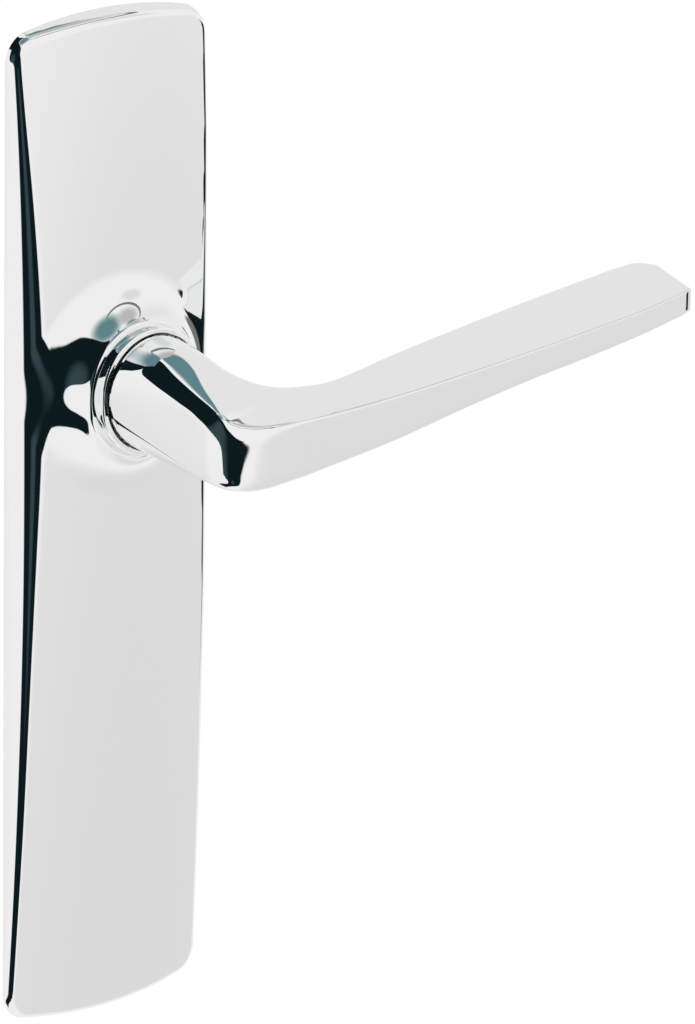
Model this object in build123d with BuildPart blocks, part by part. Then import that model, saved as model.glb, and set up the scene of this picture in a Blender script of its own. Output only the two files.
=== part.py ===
from build123d import *
from math import radians, sin, sqrt
import os

# Lever handle on a long back plate, for one face of an interior door.
# Origin on the spindle axis in the plane of the door face. +Z is up, -Y points
# out of the door towards the hand, +X runs along the lever.

# Cover plate
plate_height = 220.0
plate_width = 52.3
spindle_above_middle = 31.5     # the lever sits above the middle of the plate
end_bulge = 3.4                 # how far the curved top and bottom ends stand out
corner_radius = 5.0
skirt_draft = 16.5              # degrees that the skirt leans in
depth_at_bow = 5.2              # skirt depth where the plate bows out most
depth_at_top = 1.7
depth_at_bottom = 1.0
bow_below_spindle = 9.5         # height of the deepest place under the spindle axis
crown = 2.1                     # rise of the face from its long edges to its middle
edge_roll = 1.2                 # rounding between face and skirt
cover_wall = 1.5
cavity_end_margin = 14.0        # solid ends of the casting
bow_sweep = 9.0                 # degrees of arc, past both ends of the plate
blank_margin = 4.0              # blanks reach past the outline by this much
blank_back = 6.0
blank_depth = 20.0              # deeper than the plate with its boss

# Boss that carries the lever
boss_radius = 14.8
boss_front = 13.9
boss_blend = 7.8
collar_radius = 13.7
collar_length = 3.0
collar_lip = 0.5
neck_radius = 12.2
neck_gap = 0.4                  # dark ring between collar and neck
bush_radius = 12.5
shoulder_gap = 0.05

# Lever
neck_start = 17.3               # the neck is round up to here
neck_end = 44.0                 # here it meets the elbow
elbow_front = 50.0              # front face of the grip from the door
elbow_left = -8.0
elbow_right = 11.0
elbow_top = -0.2                # top left corner of the elbow, against the spindle axis
elbow_top_right = 1.5
facet_width = 5.6               # flat between the two top edges of the neck, at the elbow
elbow_chamfer_height = -11.6
elbow_chamfer_x = -3.0
elbow_bottom = -14.1
elbow_bottom_right = -13.0
grip_length = 123.0             # to the front corner of the tip
grip_middle = 62.0
grip_top_middle = 5.5
grip_top_tip = 8.9
grip_bottom_middle = -6.9
grip_bottom_tip = 3.5
grip_front_bow = 0.6
grip_front_tip = 49.4
grip_back_start = (30.0, -40.2)
grip_back_middle = (75.0, -33.5)
grip_back_tip = (129.5, -29.9)
tip_corner = 6.0
inner_corner = 11.0             # radius of the web between neck and grip
web_back = 30.0
web_top = 3.9
web_bottom = -10.6
ridge_round = 0.5
under_round = 1.5
lever_blank = 60.0              # blanks reach this far above, below and in front
tip_overrun = 12.0              # and this far past the tip
web_overlap = 1.0               # the web runs this far into neck and grip
# where the six faces of the neck begin on its round root, in degrees
neck_face_angles = (144.0, 36.0, 26.0, -75.0, -112.0, -166.0)

# Bearing
journal_radius = 9.5
running_clearance = 0.05
seat_gap = 0.05
bush_back = 10.8
bush_front = 14.6
thrust_thickness = 0.5
circlip_thickness = 1.0
circlip_reach = 1.6
circlip_gap = 4.0
wave_thickness = 0.5
journal_back = 3.2

# Square spindle
spindle_side = 8.0
spindle_fit = 0.05
spindle_inside = 25.0
spindle_end_gap = 1.0
spindle_behind = 26.0
spindle_chamfer = 1.0

# Base plate behind the cover
base_thickness = 1.5
base_width = 40.0
base_top = 50.0
base_bottom = -62.0
base_corner = 4.0
rear_bush_radius = 7.5
rear_bush_front = 1.7
spindle_swing = 0.1

# Fixing posts, 38 mm apart
post_spacing = 38.0
post_radius = 3.9
post_length = 13.0
post_flange_radius = 5.6
post_flange = 1.4
post_thread_radius = 1.65
post_thread_depth = 11.0
post_clearance = 0.05
post_chamfer = 0.5

# Cover screws
screw_radius = 1.5
screw_head_radius = 2.9
screw_reach = 4.2
screw_clearance = 0.05
screw_edge = 8.0                # from the sides of the base plate
screw_end = 10.0                # from its top and bottom
screw_tip_gap = 0.2
pillar_radius = 3.2
screw_sink = 0.2                # the heads lie below the back of the base plate
screw_slot_length = 3.0
screw_slot_width = 0.6
screw_slot_depth = 1.0

# Return spring and its driver
wire = 1.5
spring_radius = 11.0
spring_turns = 2.0
coil_pitch = 1.6
leg_depth = 1.6                 # how far the front leg enters the journal
leg_clearance = 0.05
leg_reach = 0.3
spring_back = 4.4
lever_travel = 45.0
driver_thickness = 1.2
driver_radius = 9.0
lug_inner = 9.2
lug_outer = 11.4
lug_half_angle = 9.0
lug_clearance = 0.2
lug_reach = 0.5                 # the lug stops this far short of the door face
driver_gap = 0.2
driver_arm = 2.0                # bridge from the driver's disc to its lug
stop_clearance = 1.0            # degrees of play at each end of the stop slot
sleeve_wall = 0.45
sleeve_length = 4.8

# Grub screw under the neck
grub_radius = 3.0
grub_at = 19.5
grub_length = 7.0
grub_socket = 3.0
grub_socket_depth = 3.0

os.makedirs("parts", exist_ok=True)

half_width = plate_width / 2
plate_top = plate_height / 2 - spindle_above_middle
plate_bottom = plate_top - plate_height
bow_z = -bow_below_spindle
screw_x = base_width / 2 - screw_edge
crown_radius = (half_width**2 + crown**2) / (2 * crown)
FRONT = Plane.XZ                # local x is X, local y is Z, the normal points to -Y


def arc_radius(drop, run):
    return (run**2 + drop**2) / (2 * drop)


def bowed_block(inset):
    """Slab whose front is crowned across and bowed along the plate, in two tangent arcs."""
    up_axis = arc_radius(depth_at_bow - depth_at_top, plate_top - bow_z) - depth_at_bow
    down_axis = arc_radius(depth_at_bow - depth_at_bottom, bow_z - plate_bottom) - depth_at_bow
    apex = -(depth_at_bow + crown) + inset
    reach = half_width + blank_margin
    radius = crown_radius - inset
    side = apex + radius - sqrt(radius**2 - reach**2)
    with BuildPart() as block:
        for axis_y, direction in ((up_axis, -1), (down_axis, 1)):
            with BuildSketch(Plane.XY.offset(bow_z)):
                with BuildLine():
                    ThreePointArc((-reach, side), (0, apex), (reach, side))
                    Polyline((reach, side), (reach, blank_back), (-reach, blank_back), (-reach, side))
                make_face()
            revolve(axis=Axis((0, axis_y, bow_z), (direction, 0, 0)), revolution_arc=bow_sweep)
    return block.part


def outline_prism(inset, depth):
    """The plate's outline, leaning in towards the front by the skirt's draft."""
    side = half_width - inset
    top = plate_top - inset
    bottom = plate_bottom + inset
    with BuildPart() as prism:
        with BuildSketch(FRONT):
            with BuildLine():
                ThreePointArc((-side, top - end_bulge), (0, top), (side, top - end_bulge))
                Line((side, top - end_bulge), (side, bottom + end_bulge))
                ThreePointArc((side, bottom + end_bulge), (0, bottom), (-side, bottom + end_bulge))
                Line((-side, bottom + end_bulge), (-side, top - end_bulge))
            outline = make_face()
            fillet(outline.vertices(), corner_radius)
        extrude(amount=depth)
        walls = prism.faces().filter_by(lambda face: abs(face.normal_at().Y) < 0.1)
        draft(walls, FRONT, skirt_draft)
    return prism.part


def is_face_rim(edge):
    """True for an edge between face and skirt, and not for the seam across the face."""
    middle = edge.center()
    along = edge.tangent_at(0.5)
    is_seam = abs(middle.Z - bow_z) < edge_roll and abs(middle.X) < half_width / 2
    is_upright = abs(along.Y) > abs(along.X) + abs(along.Z)
    return middle.Y < -depth_at_bottom / 2 and not is_upright and not is_seam


# Cover plate: one casting with its boss and four screw pillars
screw_places = [
    (x, z) for z in (base_top - screw_end, base_bottom + screw_end) for x in (-screw_x, screw_x)
]
cavity = bowed_block(cover_wall)
cavity_outline = outline_prism(cover_wall, blank_depth)
with BuildPart() as cavity_blank:
    add(cavity_outline)
    add(cavity, mode=Mode.INTERSECT)
    with BuildSketch(FRONT):
        with Locations((0, (plate_top + plate_bottom) / 2)):
            Rectangle(plate_width, plate_height - 2 * cavity_end_margin)
    extrude(amount=blank_depth, mode=Mode.INTERSECT)
    with BuildSketch(FRONT.offset(base_thickness)):
        with Locations(*screw_places):
            Circle(pillar_radius)
    extrude(amount=blank_depth, mode=Mode.SUBTRACT)

outline_blank = outline_prism(0, blank_depth)
face_blank = bowed_block(0)
with BuildPart() as cover_plate:
    add(outline_blank)
    add(face_blank, mode=Mode.INTERSECT)
    fillet(cover_plate.edges().filter_by(is_face_rim), edge_roll)
    with BuildSketch(FRONT.offset(depth_at_bow)):
        Circle(boss_radius)
    extrude(amount=boss_front - depth_at_bow)
    foot = cover_plate.edges().sort_by_distance((0, -depth_at_bow - crown, boss_radius))
    fillet(foot[0], boss_blend)
    add(cavity_blank.part, mode=Mode.SUBTRACT)
    with BuildSketch(FRONT):
        Circle(bush_radius)
    extrude(amount=boss_front, mode=Mode.SUBTRACT)
    with BuildSketch(FRONT.offset(base_thickness)):
        with Locations(*screw_places):
            Circle(screw_radius + screw_clearance)
    extrude(amount=screw_reach - base_thickness + screw_tip_gap, mode=Mode.SUBTRACT)
cover_plate.part.label = "cover_plate"
export_step(cover_plate.part, "parts/cover_plate.step")

# Collar ring on the boss
with BuildPart() as collar_ring:
    with BuildSketch(FRONT.offset(boss_front)):
        Circle(collar_radius)
        Circle(neck_radius + neck_gap, mode=Mode.SUBTRACT)
    extrude(amount=collar_length)
    front_edges = collar_ring.edges().filter_by(GeomType.CIRCLE).group_by(Axis.Y)[0]
    fillet(front_edges.sort_by(SortBy.RADIUS)[-1], collar_lip)
collar_ring.part.label = "collar_ring"
export_step(collar_ring.part, "parts/collar_ring.step")

# Nylon bush that carries the lever's journal
with BuildPart() as neck_bush:
    with BuildSketch(FRONT.offset(bush_back)):
        Circle(bush_radius)
        Circle(journal_radius + running_clearance, mode=Mode.SUBTRACT)
    extrude(amount=bush_front - bush_back)
neck_bush.part.label = "neck_bush"
export_step(neck_bush.part, "parts/neck_bush.step")

with BuildPart() as thrust_washer:
    with BuildSketch(FRONT.offset(bush_front)):
        Circle(neck_radius)
        Circle(journal_radius + 2 * running_clearance, mode=Mode.SUBTRACT)
    extrude(amount=thrust_thickness)
thrust_washer.part.label = "thrust_washer"
export_step(thrust_washer.part, "parts/thrust_washer.step")

# Lever, one casting: journal, neck, elbow and grip
shoulder = bush_front + thrust_thickness + shoulder_gap
circlip_front = bush_back - wave_thickness
circlip_back = circlip_front - circlip_thickness
groove_radius = journal_radius - circlip_reach / 2
facet_x = elbow_left + facet_width
top_slope = (elbow_top_right - elbow_top) / (elbow_right - elbow_left)
elbow_corners = (
    (elbow_left, elbow_top),
    (facet_x, elbow_top + facet_width * top_slope),
    (elbow_right, elbow_top_right),
    (elbow_right, elbow_bottom_right),
    (elbow_chamfer_x, elbow_bottom),
    (elbow_left, elbow_chamfer_height),
)
socket_side = spindle_side + 2 * spindle_fit
coil_back = spring_back + wire / 2
coil_front = coil_back + coil_pitch * spring_turns

with BuildPart() as neck:
    with BuildSketch(FRONT.offset(neck_start)):
        with BuildLine():
            for index, start in enumerate(neck_face_angles):
                stop = neck_face_angles[(index + 1) % len(neck_face_angles)]
                CenterArc((0, 0), neck_radius, start, -((start - stop) % 360))
        make_face()
    with BuildSketch(FRONT.offset(neck_end)):
        with BuildLine():
            Polyline(*elbow_corners, close=True)
        make_face()
    loft(ruled=True)

elbow_radius = elbow_front - neck_end
with BuildPart() as grip:
    with BuildSketch(Plane.XY):
        with BuildLine():
            elbow_arc = CenterArc((elbow_left + elbow_radius, -neck_end), elbow_radius, 180, 90)
            front_edge = ThreePointArc(
                elbow_arc @ 1, (grip_middle, -elbow_front - grip_front_bow), (grip_length, -grip_front_tip)
            )
            tip_edge = Line(front_edge @ 1, grip_back_tip)
            back_edge = ThreePointArc(tip_edge @ 1, grip_back_middle, grip_back_start)
            Polyline(
                back_edge @ 1, (elbow_right, -neck_end + web_overlap), (elbow_right, -neck_end), elbow_arc @ 0
            )
        plan = make_face()
        fillet(plan.vertices().sort_by(Axis.X)[-1], tip_corner)
    extrude(amount=lever_blank, both=True)
    with BuildSketch(FRONT):
        with BuildLine():
            top_edge = ThreePointArc(
                (elbow_right, elbow_top_right), (grip_middle, grip_top_middle), (grip_length, grip_top_tip)
            )
            bottom_edge = ThreePointArc(
                (grip_length, grip_bottom_tip), (grip_middle, grip_bottom_middle),
                (elbow_right, elbow_bottom_right),
            )
            Polyline(
                top_edge @ 1, top_edge @ 1 + Vector(tip_overrun, tip_overrun * (top_edge % 1).Y),
                bottom_edge @ 0 + Vector(tip_overrun, -tip_overrun * (bottom_edge % 0).Y), bottom_edge @ 0,
            )
            Polyline(
                bottom_edge @ 1, (elbow_chamfer_x, elbow_bottom), (elbow_left, elbow_chamfer_height),
                (elbow_left, elbow_top), top_edge @ 0,
            )
        make_face()
    extrude(amount=lever_blank, mode=Mode.INTERSECT)

# Web that rounds the inner corner, where the back of the grip runs into the neck
neck_side = elbow_right - 2 * web_overlap
with BuildPart() as web:
    with BuildSketch(Plane.XY):
        with BuildLine():
            Polyline(
                (neck_side, -neck_end - web_overlap), (grip_back_start[0], -neck_end - web_overlap),
                grip_back_start, (elbow_right, -neck_end + web_overlap), (elbow_right, -web_back),
                (neck_side, -web_back), close=True,
            )
        web_plan = make_face()
        inner = web_plan.vertices().sort_by_distance((elbow_right, -neck_end + web_overlap, 0))
        fillet(inner[0], inner_corner)
    extrude(amount=lever_blank, both=True)
    with BuildSketch(Plane.YZ):
        with BuildLine():
            Polyline(
                (-neck_end - web_overlap, elbow_top_right), (-neck_end, elbow_top_right),
                (-web_back, web_top),
                (-web_back, web_bottom), (-neck_end, elbow_bottom_right),
                (-neck_end - web_overlap, elbow_bottom_right), close=True,
            )
        make_face()
    extrude(amount=lever_blank, mode=Mode.INTERSECT)

with BuildPart() as lever_handle:
    add(neck.part)
    add(grip.part)
    add(web.part)
    rims = lever_handle.edges()
    front_ridge = rims.sort_by_distance((grip_middle, -elbow_front - grip_front_bow, grip_top_middle))
    fillet(front_ridge[0], ridge_round)
    rims = lever_handle.edges()
    lower_rim = rims.sort_by_distance((grip_middle, -elbow_front - grip_front_bow, grip_bottom_middle))
    fillet(lower_rim[0], under_round)
    with BuildSketch(FRONT.offset(shoulder)):
        Circle(neck_radius)
    extrude(amount=neck_start - shoulder)
    with BuildSketch(FRONT.offset(journal_back)):
        Circle(journal_radius)
    extrude(amount=shoulder - journal_back)
    with BuildSketch(FRONT.offset(circlip_back)):
        Circle(neck_radius)
        Circle(groove_radius, mode=Mode.SUBTRACT)
    extrude(amount=circlip_thickness, mode=Mode.SUBTRACT)
    with BuildSketch(FRONT):
        Rectangle(socket_side, socket_side)
    extrude(amount=spindle_inside + spindle_end_gap, mode=Mode.SUBTRACT)
    with BuildSketch(Plane.XY.offset(-2 * neck_radius)):
        with Locations((0, -grub_at)):
            Circle(grub_radius)
    extrude(amount=2 * neck_radius, mode=Mode.SUBTRACT)
    with BuildSketch(Plane.XY.offset(-neck_radius)):
        with Locations((0, -coil_front)):
            Circle(wire / 2 + leg_clearance)
    extrude(amount=neck_radius - journal_radius + leg_depth + leg_clearance, mode=Mode.SUBTRACT)
lever_handle.part.label = "lever_handle"
export_step(lever_handle.part, "parts/lever_handle.step")

with BuildPart() as grub_screw:
    with BuildSketch(Plane.XY.offset(-spindle_side / 2 - grub_length)):
        with Locations((0, -grub_at)):
            Circle(grub_radius)
    extrude(amount=grub_length)
    with BuildSketch(Plane.XY.offset(-spindle_side / 2 - grub_length)):
        with Locations((0, -grub_at)):
            RegularPolygon(grub_socket / 2, 6, major_radius=False)
    extrude(amount=grub_socket_depth, mode=Mode.SUBTRACT)
grub_screw.part.label = "grub_screw"
export_step(grub_screw.part, "parts/grub_screw.step")

with BuildPart() as spindle:
    with BuildSketch(FRONT.offset(-spindle_behind)):
        Rectangle(spindle_side, spindle_side)
    extrude(amount=spindle_behind + spindle_inside)
    ends = spindle.faces().sort_by(Axis.Y)
    chamfer(ends[0].edges() + ends[-1].edges(), spindle_chamfer)
spindle.part.label = "spindle"
export_step(spindle.part, "parts/spindle.step")

with BuildPart() as retaining_ring:
    with BuildSketch(FRONT.offset(circlip_back)):
        Circle(groove_radius + circlip_reach)
        Circle(groove_radius, mode=Mode.SUBTRACT)
        with Locations((0, groove_radius)):
            Rectangle(circlip_gap, 4 * circlip_reach, mode=Mode.SUBTRACT)
    extrude(amount=circlip_thickness)
retaining_ring.part.label = "retaining_ring"
export_step(retaining_ring.part, "parts/retaining_ring.step")

with BuildPart() as wave_washer:
    with BuildSketch(FRONT.offset(circlip_front)):
        Circle(groove_radius + circlip_reach)
        Circle(journal_radius + 2 * running_clearance, mode=Mode.SUBTRACT)
    extrude(amount=wave_thickness)
wave_washer.part.label = "wave_washer"
export_step(wave_washer.part, "parts/wave_washer.step")

# Base plate with the stop slot, screw holes and post holes
slot_start = 90 + lug_half_angle + stop_clearance
slot_end = 90 - lug_half_angle - lever_travel - stop_clearance
post_places = [(0, post_spacing / 2), (0, -post_spacing / 2)]
with BuildPart() as base_plate:
    with BuildSketch(FRONT):
        with Locations((0, (base_top + base_bottom) / 2)):
            RectangleRounded(base_width, base_top - base_bottom, base_corner)
        Circle(rear_bush_radius + seat_gap, mode=Mode.SUBTRACT)
        with Locations(*post_places):
            Circle(post_radius + post_clearance, mode=Mode.SUBTRACT)
        with Locations((0, -spring_radius)):
            Circle(wire / 2 + leg_clearance, mode=Mode.SUBTRACT)
        with BuildLine():
            slot_inner = CenterArc((0, 0), lug_inner - lug_clearance, slot_start, slot_end - slot_start)
            slot_outer = CenterArc((0, 0), lug_outer + lug_clearance, slot_start, slot_end - slot_start)
            Line(slot_inner @ 0, slot_outer @ 0)
            Line(slot_inner @ 1, slot_outer @ 1)
        make_face(mode=Mode.SUBTRACT)
    extrude(amount=base_thickness)
    with Locations(*[Location((x, 0, z), (-90, 0, 0)) for x, z in screw_places]):
        CounterSinkHole(screw_radius + screw_clearance, screw_head_radius + screw_clearance)
base_plate.part.label = "base_plate"
export_step(base_plate.part, "parts/base_plate.step")

# Threaded posts that reach into the door, flanged behind the cover
for side, (post_x, post_z) in zip(("upper", "lower"), post_places):
    with BuildPart() as fixing_post:
        with BuildSketch(FRONT.offset(-post_length)):
            with Locations((post_x, post_z)):
                Circle(post_radius)
        extrude(amount=post_length + base_thickness)
        with BuildSketch(FRONT.offset(base_thickness)):
            with Locations((post_x, post_z)):
                RegularPolygon(post_flange_radius, 6)
        extrude(amount=post_flange)
        with BuildSketch(FRONT.offset(-post_length)):
            with Locations((post_x, post_z)):
                Circle(post_thread_radius)
        extrude(amount=post_thread_depth, mode=Mode.SUBTRACT)
        rear_rim = fixing_post.edges().filter_by(GeomType.CIRCLE).group_by(Axis.Y)[-1]
        chamfer(rear_rim, post_chamfer)
    fixing_post.part.label = f"fixing_post_{side}"
    export_step(fixing_post.part, f"parts/fixing_post_{side}.step")

# Countersunk screws that hold the cover on the base plate
for number, (screw_at_x, screw_at_z) in enumerate(screw_places, start=1):
    with BuildPart() as cover_screw:
        with BuildSketch(FRONT.offset(screw_sink)):
            with Locations((screw_at_x, screw_at_z)):
                Circle(screw_head_radius - screw_sink)
        extrude(amount=screw_head_radius - screw_radius - screw_sink, taper=45)
        with BuildSketch(FRONT.offset(screw_sink)):
            with Locations((screw_at_x, screw_at_z)):
                Circle(screw_radius)
        extrude(amount=screw_reach - screw_sink)
        with BuildSketch(FRONT.offset(screw_sink)):
            with Locations((screw_at_x, screw_at_z)):
                Rectangle(screw_slot_length, screw_slot_width)
                Rectangle(screw_slot_width, screw_slot_length)
        extrude(amount=screw_slot_depth, mode=Mode.SUBTRACT)
    cover_screw.part.label = f"cover_screw_{number}"
    export_step(cover_screw.part, f"parts/cover_screw_{number}.step")

# Return spring: a coil round the journal, one leg in the base plate, one in the journal
with BuildPart() as return_spring:
    with BuildLine():
        coil_line = Helix(
            coil_pitch, coil_pitch * spring_turns, spring_radius,
            center=(0, -coil_back, 0), direction=(0, -1, 0),
        )
    with BuildSketch(Plane(origin=coil_line @ 0, z_dir=coil_line % 0)):
        Circle(wire / 2)
    sweep(is_frenet=True)
    with BuildSketch(FRONT.offset(leg_reach)):
        with Locations((0, -spring_radius)):
            Circle(wire / 2)
    extrude(amount=coil_back - leg_reach)
    with BuildSketch(Plane.XY.offset(-spring_radius)):
        with Locations((0, -coil_front)):
            Circle(wire / 2)
    extrude(amount=spring_radius - journal_radius + leg_depth)
return_spring.part.label = "return_spring"
export_step(return_spring.part, "parts/return_spring.step")

with BuildPart() as spring_sleeve:
    with BuildSketch(FRONT.offset(spring_back)):
        Circle(bush_radius - seat_gap)
        Circle(bush_radius - seat_gap - sleeve_wall, mode=Mode.SUBTRACT)
    extrude(amount=sleeve_length)
spring_sleeve.part.label = "spring_sleeve"
export_step(spring_sleeve.part, "parts/spring_sleeve.step")

# Driver on the spindle: its lug runs in the base plate's slot and stops the lever
driver_front = journal_back - driver_gap
driver_back = driver_front - driver_thickness
with BuildPart() as spring_driver:
    with BuildSketch(FRONT.offset(driver_back)):
        Circle(driver_radius)
        Rectangle(socket_side, socket_side, mode=Mode.SUBTRACT)
    extrude(amount=driver_thickness)
    with BuildSketch(FRONT.offset(lug_reach)):
        with BuildLine():
            lug_inner_arc = CenterArc((0, 0), lug_inner, 90 - lug_half_angle, 2 * lug_half_angle)
            lug_outer_arc = CenterArc((0, 0), lug_outer, 90 - lug_half_angle, 2 * lug_half_angle)
            Line(lug_inner_arc @ 0, lug_outer_arc @ 0)
            Line(lug_inner_arc @ 1, lug_outer_arc @ 1)
        make_face()
    extrude(amount=driver_front - lug_reach)
    with BuildSketch(FRONT.offset(driver_back)):
        with Locations((0, driver_radius)):
            Rectangle(2 * lug_outer * sin(radians(lug_half_angle)), driver_arm)
    extrude(amount=driver_thickness)
spring_driver.part.label = "spring_driver"
export_step(spring_driver.part, "parts/spring_driver.step")

# Nylon bush that guides the spindle through the base plate
with BuildPart() as rear_bush:
    with BuildSketch(FRONT):
        Circle(rear_bush_radius)
        Circle(spindle_side / sqrt(2) + spindle_swing, mode=Mode.SUBTRACT)
    extrude(amount=rear_bush_front)
rear_bush.part.label = "rear_bush"
export_step(rear_bush.part, "parts/rear_bush.step")
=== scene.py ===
"""Interior door lever handle: cover, lever, finishes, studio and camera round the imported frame."""
import math

import bpy
import numpy as np
from mathutils import Matrix, Vector
from mathutils.kdtree import KDTree


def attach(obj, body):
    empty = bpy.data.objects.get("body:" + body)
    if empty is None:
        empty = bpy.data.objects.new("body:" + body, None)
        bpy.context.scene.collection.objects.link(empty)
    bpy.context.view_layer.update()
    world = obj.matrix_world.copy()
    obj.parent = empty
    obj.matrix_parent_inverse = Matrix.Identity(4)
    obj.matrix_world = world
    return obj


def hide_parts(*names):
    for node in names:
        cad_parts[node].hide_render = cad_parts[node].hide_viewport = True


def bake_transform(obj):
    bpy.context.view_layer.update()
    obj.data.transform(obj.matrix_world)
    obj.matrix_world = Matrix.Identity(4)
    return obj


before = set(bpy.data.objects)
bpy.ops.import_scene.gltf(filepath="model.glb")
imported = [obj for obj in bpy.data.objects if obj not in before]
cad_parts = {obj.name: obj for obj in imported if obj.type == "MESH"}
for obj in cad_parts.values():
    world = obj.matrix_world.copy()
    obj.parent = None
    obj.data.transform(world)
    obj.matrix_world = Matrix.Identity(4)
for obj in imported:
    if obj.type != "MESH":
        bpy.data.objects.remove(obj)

bl_info = {
    "name": "Interior Door Handle",
    "version": (1, 0, 0),
    "blender": (4, 5, 0),
    "location": "View3D > Sidebar > Door Handle",
    "description": "Builds a chrome lever handle on its back plate and sets up a plain studio",
    "category": "Object",
}

# Where the photograph was taken from, against the spindle axis at the door face, in metres
CAMERA_AT = (-0.8430, -1.0336, 0.3941)
CAMERA_AZIMUTH = -41.425
CAMERA_ELEVATION = 17.513
CAMERA_ROLL = 1.057
CAMERA_LENS = 233.87
CAMERA_SHIFT = (-0.0005, -0.0127)

MM = 0.001
SHARP_ANGLE = math.radians(30)   # faces that meet at more than this keep a crisp edge

CHROME_PARTS = ("collar_ring",)
ZINC_PARTS = (
    "base_plate", "spindle", "spring_driver", "fixing_post_upper", "fixing_post_lower",
    "cover_screw_1", "cover_screw_2", "cover_screw_3", "cover_screw_4",
)
SPRING_PARTS = ("wave_washer", "retaining_ring")
NYLON_PARTS = ("neck_bush", "thrust_washer", "rear_bush", "spring_sleeve")
OXIDE_PARTS = ("grub_screw",)


# The cover plate's form, in millimetres
BOW_HEIGHT = -9.5                # where the face stands out furthest, against the spindle axis
FACE_DEPTHS = (1.7, 5.2, 1.0)    # the face's sides at the top end, at the bow and at the bottom end
CROWN = 2.1                      # rise of the face between its sides
SKIRT_LEAN = math.radians(16.5)  # the skirt's lean towards the face
END_RISE = 3.4                   # rise of the curved ends over their corners
CORNER_RADIUS = 5.0
BOSS_RADIUS = 13.9
BOSS_FRONT = 13.9
BOSS_EDGE = 0.5
BOSS_HOLE = 12.5
# Depth of the roll between face and skirt against height; to the right it narrows to a share of that
ROLL_PLACES = (
    (-145, 1.2), (-115, 1.4), (-92, 1.8), (-69, 2.1), (-46, 2.8), (-28, 3.6), (-17, 4.4), (0, 4.9),
    (14, 4.8), (24, 4.2), (36, 3.5), (46, 2.9), (60, 1.8), (80, 1.4),
)
ROLL_BLEND = 8.0                 # heights over which the roll's changes are smoothed
RIGHT_ROLL, LEAST_ROLL, ROLL_FADE = 0.45, 1.2, 24
# Distances inside the outline where rings of the mesh run, on the front and on the back
FRONT_RIM = (
    0, .1, .2, .32, .45, .6, .75, .9, 1.1, 1.3, 1.55, 1.8, 2.1, 2.4, 2.8, 3.2, 3.7, 4.2, 4.8, 5.5, 6.2)
BACK_RIM = (1.2, 1.5, 1.65, 1.8, 2.0, 2.2, 2.5, 2.8, 3.2, 3.8, 4.6, 5.6)
COVER_RAYS, FACE_RINGS, BACK_RINGS, BOSS_PITCH = 660, 45, 15, 0.12
# Tubes for the four cover screws: places in the plan, bore, radius and the depth of their back ends
PILLARS = ((12, 40), (-12, 40), (12, -52), (-12, -52))
PILLAR_BORE, PILLAR_RADIUS, PILLAR_BACK, PILLAR_SIDES = 1.8, 3.2, 1.6, 32
HALVINGS = 44                    # steps in which a place on a form is closed in on


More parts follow.
